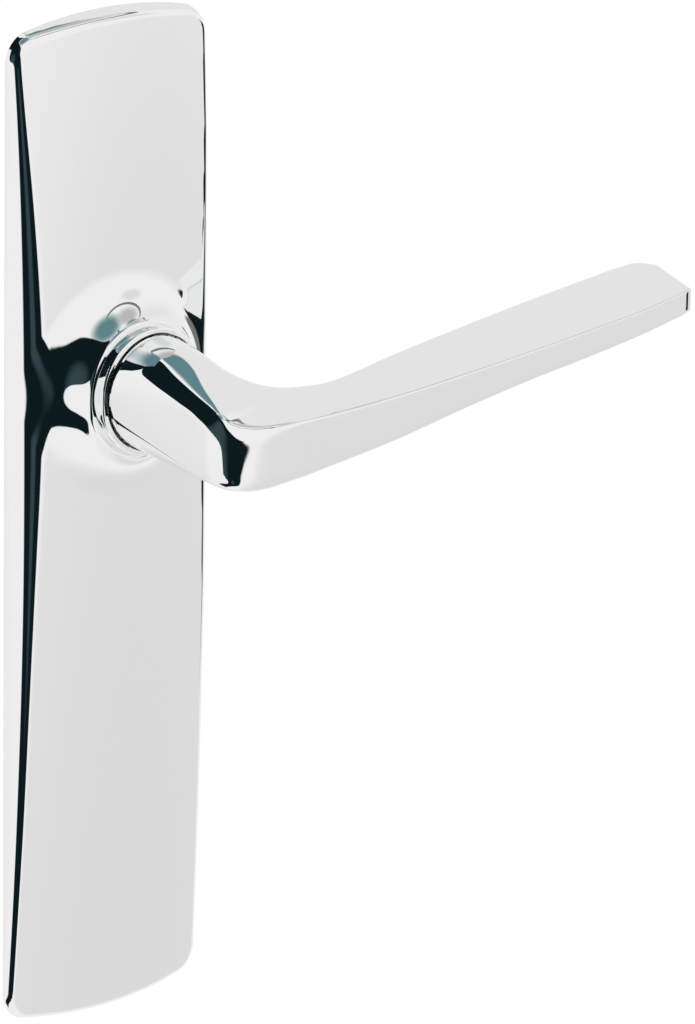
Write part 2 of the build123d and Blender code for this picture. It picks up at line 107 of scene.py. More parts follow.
class CoverForm:
    """The cover plate as fields over its plan; x and z across and along it, depth out of the door."""

    def __init__(self, settings):
        self.half = settings.width / 2 / MM
        self.top = settings.top / MM
        self.bottom = settings.top / MM - settings.height / MM
        self.wall, self.boss_blend = settings.wall / MM, settings.boss_blend / MM
        self.end_radius = (self.half**2 + END_RISE**2) / (2 * END_RISE)
        heights, rolls = np.array(ROLL_PLACES).T
        spread = np.exp(-0.5 * (np.arange(-24, 25) / ROLL_BLEND) ** 2)
        self.roll_heights = np.arange(-190.0, 140.0)
        even = np.interp(self.roll_heights, heights, rolls)
        self.rolls = np.convolve(even, spread / spread.sum(), mode="same")

    def roll(self, x, z):
        """Radius of the roll round the face, smaller on the right."""
        side = np.clip((x + ROLL_FADE / 2) / ROLL_FADE, 0, 1)
        full = np.interp(z, self.roll_heights, self.rolls)
        narrow = np.maximum(RIGHT_ROLL * full, LEAST_ROLL)
        return full + (narrow - full) * side * side * (3 - 2 * side)

    def inset(self, x, z):
        """How far a place lies inside the outline at the door's face."""
        side = np.abs(x) - self.half
        over = np.maximum(z - self.top + self.end_radius, 0)
        under = np.maximum(self.bottom + self.end_radius - z, 0)
        upper = np.hypot(x, over) - self.end_radius
        lower = np.hypot(x, under) - self.end_radius
        return -round_meet(side, np.maximum(upper, lower), CORNER_RADIUS)

    def face(self, x, z):
        """Depth of the bowed and crowned face."""
        upper, deepest, lower = FACE_DEPTHS
        over = z > BOW_HEIGHT
        run = np.where(over, self.top - BOW_HEIGHT, BOW_HEIGHT - self.bottom)
        drop = np.where(over, deepest - upper, deepest - lower)
        return deepest - drop * ((z - BOW_HEIGHT) / run) ** 2 + CROWN * (1 - (x / self.half) ** 2)

    def skirt(self, x, depth, z, wall=0.0):
        """Distance outside the leaning skirt, moved inwards by a wall."""
        return (depth * math.tan(SKIRT_LEAN) - self.inset(x, z) + wall) * math.cos(SKIRT_LEAN)

    def outside(self, x, depth, z):
        """Below zero inside the casting: skirt and face rolled together, joined to the boss."""
        plate = round_meet(self.skirt(x, depth, z), depth - self.face(x, z), self.roll(x, z))
        boss = np.hypot(x, z) - BOSS_RADIUS
        return round_meet(round_join(plate, boss, self.boss_blend), depth - BOSS_FRONT, BOSS_EDGE)

    def inside(self, x, depth, z):
        """Below zero in the hollow behind the face."""
        roll = np.maximum(self.roll(x, z) - self.wall, 0.4)
        front = depth - self.face(x, z) + self.wall
        return round_meet(self.skirt(x, depth, z, self.wall), front, roll)

    def depth_of(self, field, x, z):
        """Depth where the field changes sign over a place in the plan."""
        low, high = np.full_like(x, -6.0), np.full_like(x, 20.0)
        for _ in range(HALVINGS):
            middle = (low + high) / 2
            solid = field(x, middle, z) < 0
            low, high = np.where(solid, middle, low), np.where(solid, high, middle)
        return np.maximum((low + high) / 2, 0.0)

    def normals(self, x, depth, z):
        """Outward directions at places on the outside, from the field's slopes."""
        step = 0.002
        slopes = [
            self.outside(x + a, depth + b, z + c) - self.outside(x - a, depth - b, z - c)
            for a, b, c in ((step, 0, 0), (0, step, 0), (0, 0, step))
        ]
        lean = np.stack([slopes[0], -slopes[1], slopes[2]], axis=-1)
        return lean / np.linalg.norm(lean, axis=-1, keepdims=True)

    def rays(self, count):
        """Directions from the spindle axis to places spread evenly along the outline."""
        turn = np.linspace(0, 2 * math.pi, 20001)
        reach = self.reach(turn, np.zeros_like(turn))
        edge = np.stack([reach * np.cos(turn), reach * np.sin(turn)], axis=-1)
        run = np.concatenate([[0], np.cumsum(np.linalg.norm(np.diff(edge, axis=0), axis=1))])
        return np.interp(np.arange(count) * run[-1] / count, run, turn)

    def reach(self, turn, inset):
        """Distance from the spindle axis to the line that runs inside the outline."""
        low, high = np.full_like(turn, 8.0), np.full_like(turn, 260.0)
        for _ in range(HALVINGS):
            middle = (low + high) / 2
            within = self.inset(middle * np.cos(turn), middle * np.sin(turn)) > inset
            low, high = np.where(within, middle, low), np.where(within, high, middle)
        return (low + high) / 2


def round_meet(a, b, radius):
    """Where two solids overlap, with their common edge rolled over."""
    return np.minimum(-radius, np.maximum(a, b)) + np.hypot(
        np.maximum(a + radius, 0), np.maximum(b + radius, 0))


def round_join(a, b, radius):
    """Two solids joined, with a cove between them."""
    return np.maximum(radius, np.minimum(a, b)) - np.hypot(
        np.maximum(radius - a, 0), np.maximum(radius - b, 0))


def ring_faces(rows, count, start=0):
    """Quads between closed rings of points laid one after another."""
    row, item = np.meshgrid(np.arange(rows - 1), np.arange(count), indexing="ij")
    here, beside = start + row * count + item, start + row * count + (item + 1) % count
    return np.stack([here, beside, beside + count, here + count], axis=-1).reshape(-1, 4)


def closed_ring_faces(rows, count, start=0):
    """Quads between rings of points, with the last ring joined to the first."""
    last, first = start + (rows - 1) * count + np.arange(count), start + np.arange(count)
    closing = np.stack([last, np.roll(last, -1), np.roll(first, -1), first], axis=-1)
    return np.concatenate([ring_faces(rows, count, start), closing])


def new_piece(name, points, faces, material):
    """A mesh object at the origin from points in millimetres."""
    mesh = bpy.data.meshes.new(name)
    mesh.from_pydata((np.asarray(points) * MM).tolist(), [], [list(map(int, f)) for f in faces])
    mesh.materials.append(material)
    mesh.shade_smooth()
    piece = bpy.data.objects.new(name, mesh)
    bpy.context.scene.collection.objects.link(piece)
    return piece


def build_cover(settings, material):
    """The cover casting: front and back meet at the rim, and tubes stand behind the face."""
    form = CoverForm(settings)
    count = COVER_RAYS
    turn = form.rays(count)
    foot = BOSS_RADIUS + 1.6
    boss_rings = np.arange(foot - BOSS_PITCH, BOSS_RADIUS - 0.6, -BOSS_PITCH)
    outer = [form.reach(turn, np.full_like(turn, d)) for d in FRONT_RIM]
    outer += [foot * (outer[-1] / foot) ** u for u in np.linspace(1, 0, FACE_RINGS + 1)[1:]]
    outer += [np.full_like(turn, radius) for radius in (*boss_rings, BOSS_HOLE)]
    inner = [form.reach(turn, np.full_like(turn, d)) for d in BACK_RIM]
    inner += [BOSS_HOLE * (inner[-1] / BOSS_HOLE) ** u for u in np.linspace(1, 0, BACK_RINGS + 1)[1:]]

    def rings(reaches, field):
        reach = np.array(reaches)
        x, z = reach * np.cos(turn), reach * np.sin(turn)
        return x, form.depth_of(field, x, z), z

    front, back = rings(outer, form.outside), rings(inner[::-1], form.inside)
    normals = form.normals(*front).reshape(-1, 3)
    x, depth, z = (np.concatenate(pair) for pair in zip(front, back))
    points = np.stack([x, -depth, z], axis=-1).reshape(-1, 3)
    faces = [closed_ring_faces(len(outer) + len(inner), count)]
    for place in PILLARS:
        points, pillar = add_pillar(points, form, *place)
        faces.append(pillar)
    piece = new_piece("cover_casting", points, np.concatenate(faces), material)
    set_normals(piece.data, normals, (len(outer) - 1) * count)
    return piece


def add_pillar(points, form, x, z):
    """A tube for a cover screw, from the base plate into the back of the face."""
    turn = np.linspace(0, 2 * math.pi, PILLAR_SIDES + 1)[:-1]
    top = float(form.face(np.array(x), np.array(z))) - form.wall + 0.3
    rings = [
        np.stack([x + r * np.cos(turn), np.full_like(turn, -depth), z + r * np.sin(turn)], axis=-1)
        for r, depth in (
            (PILLAR_BORE, PILLAR_BACK), (PILLAR_RADIUS, PILLAR_BACK), (PILLAR_RADIUS, top),
            (PILLAR_BORE, top),
        )
    ]
    return np.concatenate([points, *rings]), closed_ring_faces(4, PILLAR_SIDES, len(points))


def set_normals(mesh, normals, exact_faces):
    """The true normals on the first faces, which lie on the form; smoothing by angle elsewhere."""
    mesh.set_sharp_from_angle(angle=SHARP_ANGLE)
    found = np.empty(len(mesh.loops) * 3, dtype=np.float32)
    mesh.corner_normals.foreach_get("vector", found)
    found = found.reshape(-1, 3)
    corners = np.empty(len(mesh.loops), dtype=np.int32)
    mesh.loops.foreach_get("vertex_index", corners)
    last = mesh.polygons[exact_faces - 1].loop_start + mesh.polygons[exact_faces - 1].loop_total
    found[:last] = normals[corners[:last]]
    mesh.normals_split_custom_set(found.tolist())


# Seven long edges of the lever at places from the round root of the neck to the tip, each as
# x, depth and z in millimetres: lower left, upper left, two on the top, upper right, lower right
# and bottom; the elbow turns between the fifth place and the ninth
LEVER_PLACES = (
    ((-11.84, 17.3, -2.95), (-9.87, 17.3, 7.17), (-4.9, 17.3, 11.17), (-1.06, 17.3, 12.15),
     (10.97, 17.3, 5.35), (3.16, 17.3, -11.78), (-4.57, 17.3, -11.31)),
    ((-10.9, 24, -5.1), (-9.5, 24, 6.8), (-5, 24, 10.4), (-0.3, 24.2, 11.1),
     (11, 24, 4.6), (6, 24, -12.2), (-4.2, 24, -12.1)),
    ((-10, 30, -7.2), (-9.1, 30, 5.1), (-5.3, 30, 7.95), (-1, 30.3, 8.95),
     (11.7, 29.7, 3.95), (9.5, 29.5, -12.7), (-3.9, 30, -12.8)),
    ((-9.1, 36, -9.3), (-8.5, 36, 3.2), (-5.6, 36, 5.6), (-3, 36.2, 6.25),
     (14.3, 35.2, 3.4), (13.6, 35, -12.9), (-3.5, 36, -13.4)),
    ((-8.35, 41, -10.9), (-7.9, 41, 1.3), (-5.7, 41.1, 3.7), (-4.3, 41.2, 4.1),
     (17, 37.8, 3.25), (16.6, 37.5, -12.9), (-2.9, 41.5, -13.9)),
    ((-7.9, 45, -11.9), (-7.1, 44.3, -0.9), (-5.7, 44.7, 2.1), (-5, 44.6, 2.5),
     (19.3, 39.3, 3.25), (19, 39.1, -12.8), (-1.8, 45.5, -14.1)),
    ((-6.2, 48.2, -12.7), (-5, 47.4, -3.7), (-4.7, 47, -0.8), (-4, 46.3, 1),
     (21.5, 40.2, 3.28), (21.3, 40, -12.6), (0.2, 47.8, -14)),
    ((-2, 49.9, -13.2), (-0.9, 49.4, -3.7), (-0.6, 49.1, -1.5), (0, 48.3, -0.05),
     (24.5, 40.7, 3.2), (24.3, 40.6, -12.2), (3.5, 48.9, -13.9)),
    ((8, 50.2, -12.9), (8, 50.15, -1.5), (8, 49.95, -0.75), (8, 49.4, -0.35),
     (28.5, 40.5, 3.1), (28.3, 40.5, -11.6), (10.5, 49.2, -13.3)),
    ((22, 50.4, -11.3), (22, 50.38, -0.85), (22, 50.2, -0.5), (22, 49.85, -0.3),
     (36, 39.1, 3.45), (36, 39.2, -10.1), (23.5, 49.5, -11.7)),
    ((38, 50.55, -9.2), (38, 50.53, -0.15), (38, 50.38, 0.15), (38, 50.1, 0.3),
     (47, 36.9, 4.2), (47, 37.1, -8.2), (39, 49.7, -9.55)),
    ((55, 50.58, -6.2), (55, 50.56, 1.1), (55, 50.42, 1.35), (55, 50.25, 1.48),
     (61, 34.95, 5.2), (61, 35.2, -5.8), (55.6, 49.9, -6.55)),
    ((74, 50.6, -3.3), (74, 50.58, 2.72), (74, 50.45, 2.95), (74, 50.35, 3.05),
     (77, 32.95, 6.35), (77, 33.2, -3.4), (74.4, 50, -3.6)),
    ((93, 50.5, -1), (93, 50.48, 4.6), (93, 50.36, 4.8), (93, 50.2, 4.9),
     (94.5, 31.2, 7.65), (94.5, 31.4, -0.9), (93.3, 49.9, -1.3)),
    ((110, 50.2, 1.3), (110, 50.18, 6.4), (110, 50.06, 6.6), (110, 49.8, 6.7),
     (111, 30.2, 9), (111, 30.4, 1.5), (110.2, 49.6, 1.05)),
    ((117.5, 49.85, 2.55), (117.5, 49.83, 7.5), (117.5, 49.72, 7.7), (117.55, 49.45, 7.8),
     (119.6, 29.85, 9.65), (119.6, 30, 2.55), (117.7, 49.3, 2.3)),
    ((120.6, 49.7, 3.05), (120.6, 49.68, 7.95), (120.6, 49.56, 8.15), (120.65, 49.3, 8.25),
     (124.8, 30.5, 9.9), (124.8, 30.6, 3.1), (120.8, 49.1, 2.85)),
    ((122.2, 49.5, 3.5), (122.2, 49.48, 8.25), (122.22, 49.36, 8.45), (122.3, 49.1, 8.55),
     (126.6, 33.6, 9.85), (126.6, 33.7, 3.4), (122.4, 48.9, 3.3)),
)
# Rounding of those edges at the same places
LEVER_ROUNDS = (
    (.1, .1, .1, .1, .1, .1, .1), (1, .4, .4, .8, 1.6, 1.6, 1.2), (1.2, .4, .4, .7, 2.6, 2, 1.2),
    (1.4, .4, .4, .6, 3, 2.2, 1.2), (1.7, .5, .5, .5, 2.8, 2.2, 1.4), (2.2, .9, .8, .5, 2.4, 2.2, 1.6),
    (2.6, 1.6, 1.4, 1, 2, 2, 1.8), (2.4, 1.6, 1, 1, 1.8, 1.9, 1.6), (1.8, .5, .3, .4, 1.4, 1.6, 1.2),
    (1.2, .2, .16, .2, 1.2, 1.4, .6), (1, .15, .14, .15, 1, 1.2, .4), (1, .14, .12, .14, .9, 1.1, .4),
    (1, .12, .12, .12, .9, 1, .4), (.9, .12, .12, .12, .9, 1, .4), (.9, .12, .12, .12, .9, 1, .4),
    (.9, .12, .12, .12, .9, 1, .4), (.9, .12, .12, .12, .9, 1, .4), (.9, .12, .12, .12, .9, 1, .4),
)
LEVER_STATIONS = 260
ROUND_POINTS, SIDE_POINTS = 6, 6           # points of a ring on each rounded edge and between two
FRONT_CORNER, STRETCH_START, STRETCH_LENGTH = 122.2, 30, 92   # where a longer reach stretches the grip
ROOT_FADE = 26.7                           # run of the neck over which the root's arcs go flat
TIP_ANGLES = np.radians((0, 22.5, 45, 67.5, 90))

# Holes in the neck and the cut behind it, in metres: sizes, and depths of their middles
SOCKET_WIDTH, SOCKET_LENGTH, SOCKET_DEPTH = 0.0081, 0.011, 0.0205
GRUB_RADIUS, GRUB_LENGTH, GRUB_DEPTH, GRUB_DROP = 0.00304, 0.014, 0.0195, 0.0095
ROOT_DEPTH, CUT_SIZE = 0.0173, 0.4


def spline(values, runs, places):
    """A smooth curve through values at runs, read at places."""
    slopes = np.gradient(values, runs, axis=0)
    index = np.clip(np.searchsorted(runs, places, side="right") - 1, 0, len(runs) - 2)
    shape = (-1,) + (1,) * (values.ndim - 1)
    step = (runs[index + 1] - runs[index]).reshape(shape)
    t = ((places - runs[index]) / (runs[index + 1] - runs[index])).reshape(shape)
    start, end = values[index], values[index + 1]
    return (
        start * (1 + 2 * t) * (1 - t) ** 2 + end * t**2 * (3 - 2 * t)
        + slopes[index] * step * t * (1 - t) ** 2 + slopes[index + 1] * step * t**2 * (t - 1)
    )


def lever_rings(settings):
    """Closed rings of points round the lever, from the root of the neck to the tip."""
    places = np.array(LEVER_PLACES, dtype=float) * (1, -1, 1)
    share = np.clip((places[:, :, 0] - STRETCH_START) / STRETCH_LENGTH, 0, None)
    places[:, :, 0] += share * (settings.reach / MM - FRONT_CORNER)
    middles = places.mean(axis=1)
    runs = np.concatenate([[0], np.cumsum(np.linalg.norm(np.diff(middles, axis=0), axis=1))])
    stations = np.linspace(0, runs[-1], LEVER_STATIONS)
    corners = spline(places, runs, stations)
    rounds = np.clip(spline(np.array(LEVER_ROUNDS), runs, stations), 0.05, None)
    before, after = np.roll(corners, 1, axis=1), np.roll(corners, -1, axis=1)
    to_before, to_after = before - corners, after - corners
    side = np.linalg.norm(to_after, axis=-1)
    reach_before = np.minimum(rounds, 0.45 * np.roll(side, 1, axis=1)) / np.roll(side, 1, axis=1)
    reach_after = np.minimum(rounds, 0.45 * side) / side
    # the root's sides are arcs, which flatten along the neck
    root = places[0]
    radius = np.hypot(root[0, 0], root[0, 2])
    angles = np.unwrap(np.arctan2(root[:, 2], root[:, 0])[::-1])[::-1]
    fade = np.clip(1 + (corners[:, :1, 1] - places[0, 0, 1]) / ROOT_FADE, 0, 1)[..., None]
    points = []
    count = len(root)

    def bulge(k, u):
        """How far the root's arc stands off its chord, faded along the neck."""
        follow = (k + 1) % count
        turn = (angles[follow] - angles[k]) % (-2 * math.pi)
        angle = angles[k] + turn * u
        arc = np.stack([radius * np.cos(angle), np.zeros_like(angle), radius * np.sin(angle)], axis=-1)
        chord = (root[k] + (root[follow] - root[k]) * u[:, None]) * (1, 0, 1)
        return (arc - chord) * fade[:, 0]

    for k in range(count):
        start = corners[:, k] + to_before[:, k] * reach_before[:, k, None]
        start = start + bulge(k - 1 if k else count - 1, 1 - reach_before[:, k])
        end = corners[:, k] + to_after[:, k] * reach_after[:, k, None] + bulge(k, reach_after[:, k])
        for t in np.linspace(0, 1, ROUND_POINTS):
            points.append(start * (1 - t) ** 2 + corners[:, k] * 2 * t * (1 - t) + end * t**2)
        for t in np.linspace(0, 1, SIDE_POINTS + 2)[1:-1]:
            u = reach_after[:, k] + t * (1 - reach_after[:, k] - reach_before[:, (k + 1) % count])
            points.append(corners[:, k] + to_after[:, k] * u[:, None] + bulge(k, u))
    return np.stack(points, axis=1)


def ring_normals(rings):
    """Outward directions on a sheet of rings, from its slopes along and round it."""
    ahead, behind = np.roll(rings, -1, 1) - rings, rings - np.roll(rings, 1, 1)
    far, near = (np.linalg.norm(v, axis=-1, keepdims=True) + 1e-9 for v in (ahead, behind))
    around = ahead / far * near + behind / near * far
    lean = np.cross(np.gradient(rings, axis=0), around)
    return lean / np.linalg.norm(lean, axis=-1, keepdims=True)


def build_lever(settings, material):
    """The lever casting: a loft with a rolled tip, its two holes, and the CAD journal behind it."""
    rings = lever_rings(settings)
    normals = ring_normals(rings)
    front, back = LEVER_PLACES[-1][0], LEVER_PLACES[-1][4]
    out = np.array([front[1] - back[1], front[0] - back[0], 0])
    out /= np.linalg.norm(out)
    side = normals[-1] - (normals[-1] @ out)[:, None] * out
    side /= np.linalg.norm(side, axis=-1, keepdims=True)
    roll = settings.tip_round / MM
    caps = [rings[-1] + roll * (out * math.sin(a) - side * (1 - math.cos(a))) for a in TIP_ANGLES[1:]]
    leans = [side * math.cos(a) + out * math.sin(a) for a in TIP_ANGLES]
    sheet, normals = np.concatenate([rings, caps]), np.concatenate([normals[:-1], leans])
    rows, count = sheet.shape[:2]
    faces = [face[::-1] for face in ring_faces(rows, count).tolist()]
    # both ends are fans about their middles
    first_middle, last, last_middle = rows * count, (rows - 1) * count, rows * count + 1
    faces += [[i, (i + 1) % count, first_middle] for i in range(count)]
    faces += [[last + (i + 1) % count, last + i, last_middle] for i in range(count)]
    points = np.concatenate([sheet.reshape(-1, 3), [sheet[0].mean(axis=0), sheet[-1].mean(axis=0)]])
    piece = new_piece("lever_casting", points, faces, material)
    for cutter in (socket_cutter(), grub_cutter()):
        boolean(piece, cutter, "DIFFERENCE")
    select_only(journal_copy(material), piece)
    bpy.ops.object.join()
    match_normals(piece.data, sheet.reshape(-1, 3) * MM, normals.reshape(-1, 3))
    return piece


def socket_cutter():
    """The square hole for the spindle, in front of the journal."""
    bpy.ops.mesh.primitive_cube_add(size=1, location=(0, -SOCKET_DEPTH, 0))
    cutter = bpy.context.object
    cutter.scale = (SOCKET_WIDTH, SOCKET_LENGTH, SOCKET_WIDTH)
    bpy.ops.object.transform_apply(location=True, scale=True)
    return cutter


def grub_cutter():
    """The hole for the grub screw, from below the neck into the square hole."""
    bpy.ops.mesh.primitive_cylinder_add(
        radius=GRUB_RADIUS, depth=GRUB_LENGTH, vertices=64, location=(0, -GRUB_DEPTH, -GRUB_DROP))
    bpy.ops.object.transform_apply(location=True)
    return bpy.context.object


def select_only(*pieces):
    """Select these pieces and make the last one active."""
    bpy.ops.object.select_all(action="DESELECT")
    for piece in pieces:
        piece.select_set(True)
    bpy.context.view_layer.objects.active = pieces[-1]


def boolean(piece, cutter, operation):
    """Apply the cutter to the piece and remove it."""
    modifier = piece.modifiers.new("Cut", "BOOLEAN")
    modifier.operation, modifier.solver, modifier.object = operation, "EXACT", cutter
    select_only(piece)
    bpy.ops.object.modifier_apply(modifier=modifier.name)
    bpy.data.objects.remove(cutter)


def merged_copy(node, name, material):
    """A copy of a CAD node's mesh as one closed surface."""
    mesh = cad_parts[node].data.copy()
    piece = bpy.data.objects.new(name, mesh)
    bpy.context.scene.collection.objects.link(piece)
    mesh.materials.clear()
    mesh.materials.append(material)
    select_only(piece)
    bpy.ops.object.mode_set(mode="EDIT")
    bpy.ops.mesh.select_all(action="SELECT")
    bpy.ops.mesh.remove_doubles(threshold=0.000005)
    bpy.ops.object.mode_set(mode="OBJECT")
    return piece


def journal_copy(material):
    """The part of the CAD lever behind the neck, cut off where the neck's root begins."""
    journal = merged_copy("lever_handle", "journal", material)
    bpy.ops.mesh.primitive_cube_add(size=CUT_SIZE, location=(0, -ROOT_DEPTH - CUT_SIZE / 2, 0))
    bpy.ops.object.transform_apply(location=True)
    boolean(journal, bpy.context.object, "DIFFERENCE")
    return journal


# How near a corner lies to a known point, and how far its face may lean from the known normal
POINT_REACH, LEAST_COSINE = 0.00002, 0.6


def match_normals(mesh, points, normals):
    """The true normals where a corner lies on a known point; smoothing by angle elsewhere."""
    mesh.shade_smooth()
    mesh.set_sharp_from_angle(angle=SHARP_ANGLE)
    tree = KDTree(len(points))
    for index, point in enumerate(points):
        tree.insert(point, index)
    tree.balance()
    known = {}
    for vertex in mesh.vertices:
        _, index, distance = tree.find(vertex.co)
        if distance < POINT_REACH:
            known[vertex.index] = Vector(normals[index])
    found = [corner.vector.copy() for corner in mesh.corner_normals]
    for face in mesh.polygons:
        for loop in face.loop_indices:
            normal = known.get(mesh.loops[loop].vertex_index)
            if normal and normal.dot(face.normal) > LEAST_COSINE:
                found[loop] = normal
    mesh.normals_split_custom_set(found)


class Nodes:
    """A node tree with short ways to add and join nodes."""

    def __init__(self, tree):
        self.tree = tree
        self.x = -1400

    def add(self, kind, values=None, **settings):
        node = self.tree.nodes.new(kind)
        self.x += 60
        node.location = (self.x, -120 * (len(self.tree.nodes) % 6))
        for name, value in settings.items():
            setattr(node, name, value)
        for name, value in (values or {}).items():
            socket = node.inputs[name]
            if isinstance(value, bpy.types.NodeSocket):
                self.tree.links.new(value, socket)
            else:
                socket.default_value = value
        return node

    def math(self, operation, *values, clamp=False):
        node = self.add("ShaderNodeMath", operation=operation, use_clamp=clamp)
        for index, value in enumerate(values):
            if isinstance(value, bpy.types.NodeSocket):
                self.tree.links.new(value, node.inputs[index])
            else:
                node.inputs[index].default_value = value
        return node.outputs[0]

    def fade(self, value, low, high, start=0.0, end=1.0):
        """A smooth step of value from start to end between low and high."""
        return self.add(
            "ShaderNodeMapRange", {"Value": value, 1: low, 2: high, 3: start, 4: end},
            interpolation_type="SMOOTHSTEP",
        ).outputs[0]

    def mix(self, factor, a, b):
        return self.add("ShaderNodeMix", {0: factor, 6: a, 7: b}, data_type="RGBA").outputs[2]

    def noise(self, size, detail, stretch=None):
        """Noise of a size in metres over the object, drawn out along an axis where stretch is below one."""
        place = self.add("ShaderNodeTexCoord").outputs["Object"]
        if stretch is not None:
            place = self.add("ShaderNodeMapping", {"Vector": place, "Scale": stretch}).outputs[0]
        values = {"Vector": place, "Scale": self.math("DIVIDE", 1.0, size), "Detail": detail}
        return self.add("ShaderNodeTexNoise", values).outputs["Fac"]


def new_group(name, inputs, outputs):
    """A shader node group with float or colour sockets."""
    tree = bpy.data.node_groups.new(name, "ShaderNodeTree")
    for label, kind, default in inputs:
        socket = tree.interface.new_socket(name=label, in_out="INPUT", socket_type=kind)
        if default is not None:
            socket.default_value = default
    for label, kind in outputs:
        tree.interface.new_socket(name=label, in_out="OUTPUT", socket_type=kind)
    nodes = Nodes(tree)
    start = nodes.add("NodeGroupInput")
    end = nodes.add("NodeGroupOutput")
    return nodes, start.outputs, end.inputs


def build_polish_group():
    """Traces of polishing and handling: a slow waviness, faint smears and fine hairlines."""
    nodes, start, end = new_group(
        "Polish traces",
        [
            ("Wave size", "NodeSocketFloat", 0.02),
            ("Smear size", "NodeSocketFloat", 0.03),
            ("Hairline size", "NodeSocketFloat", 0.0008),
        ],
        [("Wave", "NodeSocketFloat"), ("Smear", "NodeSocketFloat"), ("Hairline", "NodeSocketFloat")],
    )
    link = nodes.tree.links.new
    link(nodes.noise(start["Wave size"], 1.0), end["Wave"])
    smear = nodes.noise(start["Smear size"], 4.0, (1.0, 1.0, 0.5))
    link(nodes.fade(smear, 0.45, 0.75), end["Smear"])
    hairline = nodes.noise(start["Hairline size"], 2.0, (0.06, 1.0, 1.0))
    link(nodes.fade(hairline, 0.55, 0.75), end["Hairline"])
    return nodes.tree


def build_edge_group():
    """A mask that is bright along edges, from how far a rounded normal leans from the real one."""
    nodes, start, end = new_group(
        "Edge wear",
        [("Width", "NodeSocketFloat", 0.0005), ("Break size", "NodeSocketFloat", 0.004)],
        [("Edge", "NodeSocketFloat")],
    )
    rounded = nodes.add("ShaderNodeBevel", {"Radius": start["Width"]}, samples=4).outputs[0]
    flat = nodes.add("ShaderNodeNewGeometry").outputs["Normal"]
    lean = nodes.add("ShaderNodeVectorMath", {0: rounded, 1: flat}, operation="DOT_PRODUCT")
    edge = nodes.fade(lean.outputs["Value"], 0.995, 0.93)
    breaks = nodes.fade(nodes.noise(start["Break size"], 3.0), 0.35, 0.6)
    nodes.tree.links.new(nodes.math("MULTIPLY", edge, breaks), end["Edge"])
    return nodes.tree


def build_grain_group():
    """Fine grain of a plated, rolled or moulded surface, with stains on a larger scale."""
    nodes, start, end = new_group(
        "Surface grain",
        [
            ("Grain size", "NodeSocketFloat", 0.0006),
            ("Grain stretch", "NodeSocketVector", (1.0, 1.0, 1.0)),
            ("Stain size", "NodeSocketFloat", 0.012),
        ],
        [("Grain", "NodeSocketFloat"), ("Stain", "NodeSocketFloat")],
    )
    link = nodes.tree.links.new
    link(nodes.noise(start["Grain size"], 3.0, start["Grain stretch"]), end["Grain"])
    link(nodes.fade(nodes.noise(start["Stain size"], 5.0), 0.4, 0.7), end["Stain"])
    return nodes.tree


def group_node(nodes, tree, values):
    """A node of a shared group with these values; returns its outputs."""
    node = nodes.add("ShaderNodeGroup", node_tree=tree)
    for name, value in values.items():
        node.inputs[name].default_value = value
    return node.outputs


def new_material(name, colour, metallic, roughness):
    """A material, its nodes and its shader, with the constant values set on the shader."""
    material = bpy.data.materials.new(name)
    material.use_nodes = True
    material.node_tree.nodes.clear()
    nodes = Nodes(material.node_tree)
    shader = nodes.add(
        "ShaderNodeBsdfPrincipled",
        {"Base Color": (*colour, 1.0), "Metallic": metallic, "Roughness": roughness},
    )
    output = nodes.add("ShaderNodeOutputMaterial", {"Surface": shader.outputs[0]})
    shader.location, output.location = (200, 0), (500, 0)
    material.diffuse_color = (*colour, 1.0)
    return material, nodes, shader


def tint(colour, shares):
    return tuple(c * share for c, share in zip(colour, shares))


def chrome(name, settings, groups):
    """Mirror plating with traces of polishing and handling."""
    colour = settings.chrome_colour
    material, nodes, shader = new_material(name, colour, 1.0, settings.chrome_roughness)
    traces = group_node(nodes, groups["polish"], {
        "Wave size": settings.wave_size, "Smear size": 0.03, "Hairline size": 0.0007,
    })
    edge = group_node(nodes, groups["edge"], {"Width": 0.0004, "Break size": 0.003})["Edge"]
    worn = tint(colour, (0.93, 0.93, 0.93))
    link = nodes.tree.links.new
    link(nodes.mix(edge, (*colour, 1.0), (*worn, 1.0)), shader.inputs["Base Color"])
    smear = nodes.math("MULTIPLY", traces["Smear"], settings.smear_strength)
    rough = nodes.math("ADD", smear, nodes.math("MULTIPLY", traces["Hairline"], 0.012))
    rough = nodes.math("ADD", rough, nodes.math("MULTIPLY", edge, 0.05))
    link(nodes.math("ADD", rough, settings.chrome_roughness, clamp=True), shader.inputs["Roughness"])
    bump = nodes.add(
        "ShaderNodeBump", {"Height": traces["Wave"], "Strength": 1.0, "Distance": settings.wave_depth}
    )
    link(bump.outputs[0], shader.inputs["Normal"])
    return material


